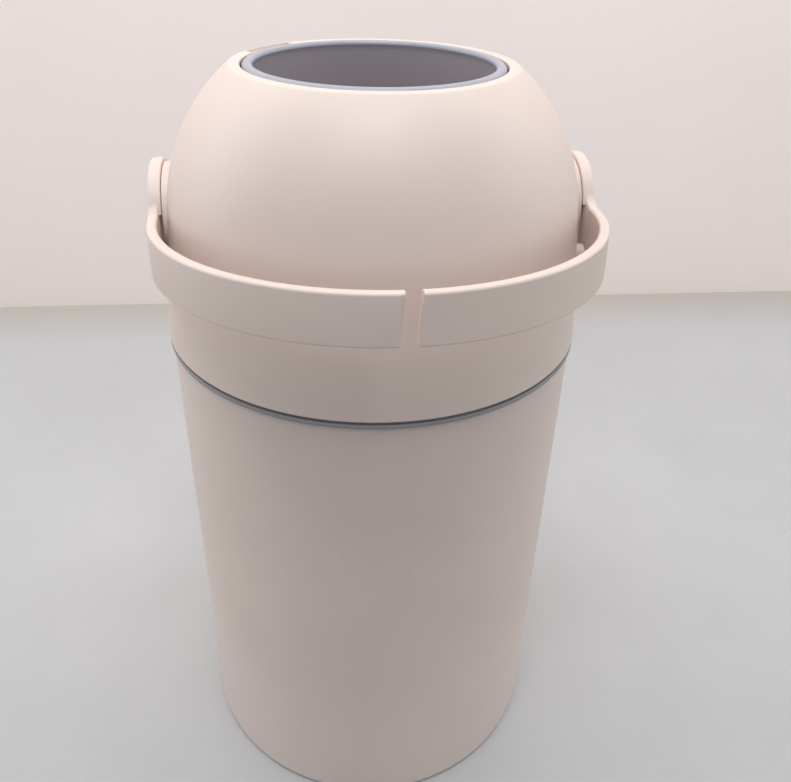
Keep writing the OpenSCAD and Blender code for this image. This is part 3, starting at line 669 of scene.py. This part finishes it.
class PAIL_OT_finishes(bpy.types.Operator):
    """Makes the pail's materials"""
    bl_idname = "pail.finishes"
    bl_label = "Finishes"

    def execute(self, context):
        s = context.scene.pail_finish
        FINISHES["cream"] = moulded("SatinCreamPlastic", s.cream, s.cream_roughness, scuff=0.25)
        FINISHES["drum"] = moulded("DrumPlastic", s.drum, 0.42)
        FINISHES["ring"] = moulded("PaleGreyPlastic", s.ring, 0.36, 0.2)
        FINISHES["bag_ring"] = moulded("BagRingPlastic", s.bag_ring, 0.46, 0.2)
        FINISHES["liner"] = moulded("DarkLinerPlastic", s.liner, 0.40, 0.25, 0.05)
        FINISHES["rubber"] = rubbered("SealRubber", s.rubber)
        FINISHES["steel"] = plated("ZincPlatedSteel", s.steel)
        return {"FINISHED"}


class PAIL_OT_bucket(bpy.types.Operator):
    """Makes the bucket with its foot ring and the ribs under its floor"""
    bl_idname = "pail.bucket"
    bl_label = "Bucket"

    def execute(self, context):
        s = context.scene.pail_bucket
        foot_in = s.foot_radius - s.foot_ring
        floor_top = s.floor_rise + s.floor_thickness
        inner_foot = s.foot_radius + (s.rim_radius - s.foot_radius) * floor_top / s.height - s.wall
        profile = [(0, s.floor_rise), (foot_in, s.floor_rise), (foot_in, 0.0)]
        profile += arc((s.foot_radius - s.foot_edge, s.foot_edge), s.foot_edge, -90, 0, 10)
        profile += arc((s.rim_radius - s.rim_edge, s.height - s.rim_edge), s.rim_edge, 0, 90, 6)
        profile += [(s.rim_radius - s.wall, s.height)]
        profile += arc((inner_foot - s.floor_corner, floor_top + s.floor_corner), s.floor_corner, 0, -90, 10)
        profile += [(0, floor_top)]
        shell = turned("bucket_shell", profile, SIDES)
        rib = box("bucket_rib", (s.hub_radius + s.hub_wall / 2, -s.rib_thickness / 2, s.rib_low),
                  (foot_in + PAST, s.rib_thickness / 2, s.floor_rise + PAST))
        ribs = ring_tree().run(rib, {"Count": s.rib_count, "First Angle": 0.0, "Material": FINISHES["cream"]})
        hub_in, hub_out, hub_top = s.hub_radius, s.hub_radius + s.hub_wall, s.floor_rise + PAST
        hub_profile = [(hub_in, s.hub_low), (hub_out, s.hub_low), (hub_out, hub_top), (hub_in, hub_top)]
        hub = turned("bucket_hub", hub_profile, 64)
        bucket = smooth(joined("bucket_moulding", [shell, ribs, hub]))
        place_piece(bucket, "root", ["bucket"], "cream")
        return {"FINISHED"}


class PAIL_OT_bag_ring(bpy.types.Operator):
    """Makes the grey ring that holds the bag and shows at the seam"""
    bl_idname = "pail.bag_ring"
    bl_label = "Bag ring"

    def execute(self, context):
        s = context.scene.pail_ring
        seat = context.scene.pail_bucket.height
        top = seat + s.flange
        throat = top - s.throat_depth
        hole = throat - s.funnel_depth
        skirt = seat - s.skirt_depth
        rim_drop, slant_drop = 4 * MM, 1.2 * MM
        chamfer_in, chamfer_up = 0.8 * MM, 1.5 * MM
        profile = [(s.throat_radius, top), (s.throat_radius, throat), (s.hole_radius, hole)]
        profile += arc((s.hole_radius + s.wall / 2, hole - rim_drop), s.wall / 2, 180, 360, 10)
        profile += [(s.hole_radius + s.wall, hole - slant_drop), (s.throat_radius + s.wall, throat - slant_drop),
                    (s.throat_radius + s.wall, seat), (s.skirt_radius - s.wall, seat),
                    (s.skirt_radius - s.wall, skirt), (s.skirt_radius - chamfer_in, skirt),
                    (s.skirt_radius, skirt + chamfer_up), (s.skirt_radius, seat), (s.radius, seat)]
        step = top - s.step_height
        profile += arc((s.radius - s.edge, step - s.edge), s.edge, 0, 90, 6)
        profile += [(s.radius - s.step_depth, step), (s.radius - s.step_depth, top)]
        ring = smooth(turned("bag_ring_moulding", profile, SIDES))
        place_piece(ring, "bag_ring", ["bag_ring"], "bag_ring")
        return {"FINISHED"}


def dome_profile(s):
    """The top's closed profile: collar, dome, flat lip, and the inside parallel to them."""
    top = s.seam + s.height
    shoulder = (s.shoulder_radius, s.seam + s.shoulder_height)
    draft = math.atan((s.collar_radius - s.shoulder_radius) / s.shoulder_height)
    lip = (s.lip_radius - s.lip_round, top - s.lip_round)
    away = (lip[0] - shoulder[0], lip[1] - shoulder[1])
    out = (math.cos(draft), math.sin(draft))
    along = away[0] * out[0] + away[1] * out[1]
    radius = (away[0] ** 2 + away[1] ** 2 - s.lip_round ** 2) / (-2 * along - 2 * s.lip_round)
    centre = (shoulder[0] - radius * out[0], shoulder[1] - radius * out[1])
    lip_angle = math.degrees(math.atan2(lip[1] - centre[1], lip[0] - centre[0]))
    start = math.degrees(draft)
    under = top - s.lip_thickness
    inside = radius - s.wall
    inner_end = math.degrees(math.asin((under - centre[1]) / inside))
    edge = s.lower_edge
    profile = [(s.collar_radius - s.wall / math.cos(draft), s.seam)]
    profile += arc((s.collar_radius - edge, s.seam + edge), edge, -90, start, 6)
    profile += arc(centre, radius, start, lip_angle, 64)
    profile += arc(lip, s.lip_round, lip_angle, 90, 10)[1:]
    profile += arc((s.opening_radius + s.lip_edge, top - s.lip_edge), s.lip_edge, 90, 180, 6)
    profile += [(s.opening_radius, under)]
    profile += arc(centre, inside, inner_end, start, 48)
    return profile


class PAIL_OT_top(bpy.types.Operator):
    """Makes the domed top with its pivot bosses, rest lugs and the notch in its lip"""
    bl_idname = "pail.top"
    bl_label = "Domed top"

    def execute(self, context):
        s = context.scene.pail_top
        pivot = context.scene.pail_drum.pivot
        top = s.seam + s.height
        dome = turned("top_moulding", dome_profile(s), SIDES)
        notch_in, notch_low = s.opening_radius - 4 * MM, top - s.notch_depth
        notch = turned("notch", [(notch_in, notch_low), (s.notch_radius, notch_low),
                                 (s.notch_radius, top + PAST), (notch_in, top + PAST)],
                       48, sweep=s.notch_sweep, start=s.notch_from)
        combine(dome, "DIFFERENCE", [notch])
        # The boss stands proud until the flat cuts it, and the lug ends a hair under the flat
        past = s.boss_reach + 2 * PAST
        lug_end = s.boss_reach - 0.05 * MM
        flat_end = s.boss_reach + 20 * MM
        lug_z = pivot - s.lug_drop
        adders = [rod("boss", s.boss_radius, s.boss_root, past, BOSS_SIDES, (0, pivot)),
                  rod("tube", s.tube_radius, s.tube_in, s.boss_reach - PAST, at=(0, pivot)),
                  rod("lug", s.lug_radius, s.boss_root, lug_end, 48, (-s.lug_at, lug_z)),
                  box("lug_foot", (s.boss_root, -s.lug_at - s.lug_radius, lug_z - s.lug_height),
                      (lug_end, -s.lug_at + s.lug_radius, lug_z)),
                  box("backing", (s.boss_reach - s.wall, -s.backing, pivot - s.flat_radius - s.wall),
                      (lug_end, s.backing, pivot - s.boss_radius + s.wall))]
        cutters = [rod("flat", s.flat_radius, s.boss_reach, flat_end, BOSS_SIDES, (0, pivot)),
                   rod("bore", s.bush_radius, s.tube_in - PAST, past, at=(0, pivot))]
        for shapes in (adders, cutters):
            shapes += [mirrored(shape, shape.name + "_l") for shape in shapes]
        combine(dome, "UNION", adders)
        combine(dome, "DIFFERENCE", cutters)
        smooth(dome)
        place_piece(dome, "top", ["top_housing"], "cream")
        return {"FINISHED"}


class PAIL_OT_drum(bpy.types.Operator):
    """Makes the drum: shells, liner, rim rings and trunnions"""
    bl_idname = "pail.drum"
    bl_label = "Drum"

    def execute(self, context):
        s = context.scene.pail_drum
        outer = s.bore_radius + s.liner_wall
        collar = s.liner_end + s.liner_lip
        half = [(outer, collar), (s.ring_in, collar), (s.bore_radius, s.liner_end)]
        whole = [(r, s.pivot + h) for r, h in half] + [(r, s.pivot - h) for r, h in reversed(half)]
        place_piece(smooth(turned("bore_liner", whole, SIDES)), "drum", ["drum_liner"], "liner")
        end = s.liner_end + s.ring_height
        ring = [(s.ring_in, collar), (outer + s.fit, collar), (outer + s.fit, s.shell_end), (s.ring_out, s.shell_end)]
        ring += arc((s.ring_out - s.ring_round, end - s.ring_round), s.ring_round, 0, 90, 14)
        ring += arc((s.ring_in + s.ring_inner_round, end - s.ring_inner_round), s.ring_inner_round, 90, 180, 14)
        for name, node, way in (("upper_rim_ring", "rim_ring_upper", 1), ("lower_rim_ring", "rim_ring_lower", -1)):
            piece = turned(name, [(r, s.pivot + way * h) for r, h in ring], SIDES)
            place_piece(smooth(piece), "drum", [node], "ring")
        place_copies("drum", ("drum_ball_upper", "drum_shell_upper", "drum"),
                     ("drum_ball_lower", "drum_shell_lower", "drum"),
                     ("left_trunnion", "trunnion_left", "steel"), ("right_trunnion", "trunnion_right", "steel"))
        return {"FINISHED"}


class PAIL_OT_piston(bpy.types.Operator):
    """Makes the piston: two cups, the weight and the wiper"""
    bl_idname = "pail.piston"
    bl_label = "Piston"

    def execute(self, context):
        place_copies("piston", ("piston_face_upper", "piston_cup_upper", "liner"),
                     ("piston_face_lower", "piston_cup_lower", "liner"),
                     ("weight_disc", "piston_weight", "steel"), ("wiper_ring", "piston_wiper", "rubber"))
        return {"FINISHED"}


class PAIL_OT_cradle(bpy.types.Operator):
    """Makes the cradle under the drum, with its seals, gasket and bushes"""
    bl_idname = "pail.cradle"
    bl_label = "Cradle"

    def execute(self, context):
        place_copies("top", ("cradle_bowl", "drum_cradle", "liner"), ("lip_seal", "upper_seal", "rubber"),
                     ("bowl_seal", "lower_seal", "rubber"), ("deck_gasket", "seam_gasket", "rubber"),
                     ("left_bush", "pivot_bush_left", "liner"), ("right_bush", "pivot_bush_right", "liner"))
        return {"FINISHED"}


def handle_path(s):
    """The band's middle line from the split round the bow and along the straight arm to the ear."""
    half_gap = math.degrees(math.asin(s.gap / 2 / s.bow_radius))
    path = arc((0, -s.forward), s.bow_radius, half_gap - 90, 0, 90)
    return path + [(s.bow_radius, -s.forward * (1 - k / 6)) for k in range(1, 7)]


def ear_blend(s, pivot):
    """The rounded corner between the band's top and the ear's rim, turned about the corner's own centre."""
    top = s.height / 2 - s.drop
    up = top + s.blend_radius
    ahead = math.sqrt((s.ear_radius + s.blend_radius) ** 2 - up ** 2)
    low, high = s.bow_radius - s.thickness / 2, s.bow_radius + s.thickness / 2
    deep = s.blend_radius + s.ear_round + s.top_round
    near = s.blend_radius + s.top_round
    profile = [(deep, low)]
    profile += [(near - h, low + s.top_round + x) for x, h in arc((0, 0), s.top_round, 180, 90, 8)]
    profile += [(near - h, high - s.top_round + x) for x, h in arc((0, 0), s.top_round, 90, 0, 8)]
    profile += [(deep, high)]
    to_ear = math.atan2(-up, ahead)
    blend = turned("blend", profile, 24, along_x=True, sweep=math.pi / 2 + to_ear, start=-math.pi / 2)
    blend.data.transform(Matrix.Translation((0, 0, pivot)) @ Matrix.Rotation(-s.lift, 4, "X")
                         @ Matrix.Translation((0, -ahead, up)))
    return blend


class PAIL_OT_handle(bpy.types.Operator):
    """Makes the two halves of the bow handle with their ears and covers"""
    bl_idname = "pail.handle"
    bl_label = "Handle"

    def execute(self, context):
        s = context.scene.pail_handle
        pivot = context.scene.pail_drum.pivot
        bm = bmesh.new()
        verts = [bm.verts.new((x, y, 0)) for x, y in handle_path(s)]
        for a, b in zip(verts, verts[1:]):
            bm.edges.new((a, b))
        band = from_bmesh("handle_band", bm)
        band_tree().run(band, {"Thickness": s.thickness, "Height": s.height, "Top Rounding": s.top_round,
                               "Lower Rounding": s.low_round, "Drop": s.drop, "Pivot": pivot, "Lean": -s.lift,
                               "Material": FINISHES["cream"]})
        end_edge, ear_edge, cover_gap, screw_hole = 0.5 * MM, 0.6 * MM, 0.1 * MM, 1.95 * MM
        soft = band.modifiers.new("EndEdges", "BEVEL")
        soft.width = end_edge
        soft.segments = 2
        soft.limit_method = "ANGLE"
        soft.angle_limit = math.radians(60)
        bake(band)
        ear_in, ear_out = s.ear_in, s.ear_out
        ear_profile = [(0, ear_in), (s.ear_radius - ear_edge, ear_in), (s.ear_radius, ear_in + ear_edge)]
        ear_profile += arc((s.ear_radius - s.ear_round, ear_out - s.ear_round), s.ear_round, 0, 90, 10) + [(0, ear_out)]
        ear = turned("ear", ear_profile, 192, along_x=True)
        ear.data.transform(Matrix.Translation((0, 0, pivot)))
        combine(band, "UNION", [ear, ear_blend(s, pivot)])
        recess = rod("recess", s.cover_radius + cover_gap, ear_out - s.cover_depth, ear_out + PAST, at=(0, pivot))
        socket = rod("socket", s.hex_width / math.sqrt(3), ear_in - PAST, ear_in + s.hex_depth, 6, (0, pivot))
        hole = rod("hole", screw_hole, ear_in, ear_out + PAST, 32, (0, pivot))
        relief = box("relief", (ear_in - PAST, -s.ear_radius - PAST, -s.ear_radius - PAST),
                     (s.bow_radius - s.thickness / 2, -s.relief_from, s.height / 2 - s.drop))
        relief.data.transform(Matrix.Translation((0, 0, pivot)) @ Matrix.Rotation(-s.lift, 4, "X"))
        combine(band, "DIFFERENCE", [recess, socket, hole, relief])
        smooth(band, 38.0)
        band.name = "right_half"
        other = mirrored(band, "left_half")
        # Both ends at the split lean to the same side about the band's middle height there
        middle = pivot - s.drop + s.bow_radius * math.sin(s.lift)
        for half in (band, other):
            for v in half.data.vertices:
                if v.co.y < -s.forward:
                    near = max(0.0, 1 - (abs(v.co.x) - s.gap / 2) / s.split_reach)
                    v.co.x += near * math.tan(s.split_lean) * (v.co.z - middle)
        place_piece(band, "drum", ["handle_right"], "cream")
        place_piece(other, "drum", ["handle_left"], "cream")
        place_copies("drum", ("left_cover", "ear_cover_left", "cream"), ("right_cover", "ear_cover_right", "cream"))
        return {"FINISHED"}


def screw(name, s, reach, seat):
    """A screw with a domed head, a cross recess and its seat at a height, on the pail's axis."""
    crown, point = 0.5 * MM, MM
    low, tip = seat - s.head_height, seat + reach
    profile = [(0, low), (s.head * 0.55, low)]
    profile += arc((s.head - crown, low + crown), crown, -90, 0, 4)
    profile += [(s.head, seat), (s.shank, seat), (s.shank, tip - point), (s.shank * 0.5, tip), (0, tip)]
    body = turned(name, profile, 32)
    depth = low + s.head_height * 0.6
    long, slim = 0.5 * s.head, 0.11 * s.head
    arms = [box("arm", (-x, -y, low - PAST), (x, y, depth)) for x, y in ((long, slim), (slim, long))]
    return combine(body, "DIFFERENCE", arms)


class PAIL_OT_fasteners(bpy.types.Operator):
    """Makes the screws of the cradle, the drum and the handle"""
    bl_idname = "pail.fasteners"
    bl_label = "Screws"

    def execute(self, context):
        s = context.scene.pail_fasteners
        for name, node, body, at, seat, reach, number in (
                ("cradle_screw_set", "cradle_screws", "top", s.cradle_at, s.cradle_z, s.cradle_length, s.cradle_count),
                ("drum_screw_set", "drum_screws", "drum", s.drum_at, s.drum_z, s.drum_length, s.drum_count)):
            one = screw(name, s, reach, seat)
            one.data.transform(Matrix.Translation((at, 0, 0)))
            ring_tree().run(one, {"Count": number, "First Angle": math.pi / number, "Material": FINISHES["steel"]})
            place_piece(smooth(one), body, [node], "steel")
        place_copies("drum", ("handle_screw_pair", "handle_screws", "steel"))
        return {"FINISHED"}


def lamp(name, energy, tint, width, height, place, aim):
    """An area lamp that looks at a point."""
    data = bpy.data.lights.new(name, "AREA")
    data.energy = energy
    data.color = tint
    data.shape = "RECTANGLE"
    data.size = width
    data.size_y = height
    obj = linked(name, data)
    obj.location = place
    obj.rotation_mode = "QUATERNION"
    obj.rotation_quaternion = (aim - place).to_track_quat("-Z", "Y")


class PAIL_OT_stage(bpy.types.Operator):
    """Makes the floor, the wall, the lamps and the camera"""
    bl_idname = "pail.stage"
    bl_label = "Stage"

    def execute(self, context):
        s = context.scene.pail_stage
        turn = Matrix.Rotation(-math.radians(s.turn), 4, "Z")
        wall_place = turn @ Matrix.Translation((0, s.wall_back, 0)) @ Matrix.Rotation(math.radians(s.wall_turn), 4, "Z")
        f = Finish("PaleFloor")
        stains = f.noise(3.2, 5.0, 0.6)
        veins = f.noise(9.0, 6.0, 0.65)
        mask = f.ramp(stains, 0.35, 0.65) * 0.6 + f.ramp(veins, 0.4, 0.7) * 0.4
        away = wall_place.to_3x3() @ Vector((0, 1, 0))
        depth = f.distance(away)
        foot = away.dot(wall_place.translation)
        mottled_and_shaded = f.blend(mask, rgba(s.floor, 0.96), rgba(s.floor, 1.05))
        # Painted shade: the floor blends to a darker colour over the strip along the wall's foot
        wall_shade_mask = f.ramp(depth, foot - s.wall_shade, foot)
        # Painted shade: the floor darkens from front_from to front_to, in metres along the camera's way, standing in
        # for the shade on the floor before the pail
        front_from, front_to = -0.24, -0.6
        run = f.distance(turn.to_3x3() @ Vector((0, 1, 0)))
        mottled_and_shaded = f.blend(f.ramp(run, front_from, front_to), mottled_and_shaded, rgba(s.floor_front_shade))
        floor_paint = f.surface(Base_Color=f.blend(wall_shade_mask, mottled_and_shaded, rgba(s.floor_wall_shade)),
                                Roughness=f.ramp(veins, 0.3, 0.7, 0.32, 0.45))
        g = Finish("PaleWall")
        clouds = g.ramp(g.noise(2.0, 3.0), 0.3, 0.7)
        wall_paint = g.surface(Base_Color=g.blend(clouds, rgba(s.wall, 0.98), rgba(s.wall, 1.02)), Roughness=0.8)
        floor = box("stage_floor", (-4, -3, -0.02), (4, 1.3, 0.0))
        wall = box("stage_wall", (-4, 0.0, 0.0), (4, 0.05, 3.0))
        for obj, paint, where in ((floor, floor_paint, turn), (wall, wall_paint, wall_place)):
            obj.data.transform(where)
            obj.data.materials.append(paint)
        world = bpy.data.worlds.new("PlainLight")
        world.use_nodes = True
        back = world.node_tree.nodes["Background"]
        back.inputs["Color"].default_value = WORLD_COLOUR
        back.inputs["Strength"].default_value = WORLD_STRENGTH
        context.scene.world = world
        for name, energy, tint, width, height, place, aim in LAMPS:
            lamp(name, energy, tint, width, height, turn @ Vector(place), turn @ Vector(aim))
        pitch, roll = math.radians(s.pitch), math.radians(s.roll)
        ahead = Vector((0, math.cos(pitch), -math.sin(pitch)))
        right = Vector((1, 0, 0))
        above = right.cross(ahead)
        leaned = math.cos(roll) * right + math.sin(roll) * above
        upward = -math.sin(roll) * right + math.cos(roll) * above
        axes = Matrix((leaned, upward, -ahead)).transposed().to_4x4()
        data = bpy.data.cameras.new("PhotoCamera")
        data.sensor_width = SENSOR
        data.lens = SENSOR * s.focal_px / PHOTO_WIDTH
        data.shift_y = (s.row_px - PHOTO_HEIGHT / 2) / PHOTO_WIDTH
        data.clip_start = 0.02
        camera = linked("PhotoCamera", data)
        camera.matrix_world = turn @ Matrix.Translation((s.across, -s.back, s.up)) @ axes
        context.scene.camera = camera
        context.scene.view_settings.view_transform = "Standard"
        return {"FINISHED"}


class PAIL_PT_panel(bpy.types.Panel):
    """Lists the pail's pieces and the stage"""
    bl_idname = "PAIL_PT_panel"
    bl_label = "Diaper pail"
    bl_space_type = "VIEW_3D"
    bl_region_type = "UI"
    bl_category = "Pail"

    def draw(self, context):
        for operator in OPERATORS:
            self.layout.operator(operator.bl_idname)


GROUPS = {
    "pail_bucket": PailBucketSettings, "pail_ring": PailRingSettings, "pail_top": PailTopSettings,
    "pail_drum": PailDrumSettings, "pail_handle": PailHandleSettings,
    "pail_fasteners": PailFastenerSettings, "pail_finish": PailFinishSettings, "pail_stage": PailStageSettings,
}
OPERATORS = (PAIL_OT_finishes, PAIL_OT_stage, PAIL_OT_bucket, PAIL_OT_bag_ring, PAIL_OT_top, PAIL_OT_cradle,
             PAIL_OT_drum, PAIL_OT_piston, PAIL_OT_handle, PAIL_OT_fasteners)


def register():
    """Registers the settings, the operators and the panel."""
    for name, group in GROUPS.items():
        bpy.utils.register_class(group)
        setattr(bpy.types.Scene, name, bpy.props.PointerProperty(type=group))
    for cls in OPERATORS + (PAIL_PT_panel,):
        bpy.utils.register_class(cls)


def unregister():
    """Takes back what register did."""
    for cls in reversed(OPERATORS + (PAIL_PT_panel,)):
        bpy.utils.unregister_class(cls)
    for name, group in GROUPS.items():
        delattr(bpy.types.Scene, name)
        bpy.utils.unregister_class(group)


def main():
    """Makes every piece in order."""
    register()
    for operator in OPERATORS:
        getattr(bpy.ops.pail, operator.bl_idname.split(".")[1])()


if __name__ == "__main__":
    main()
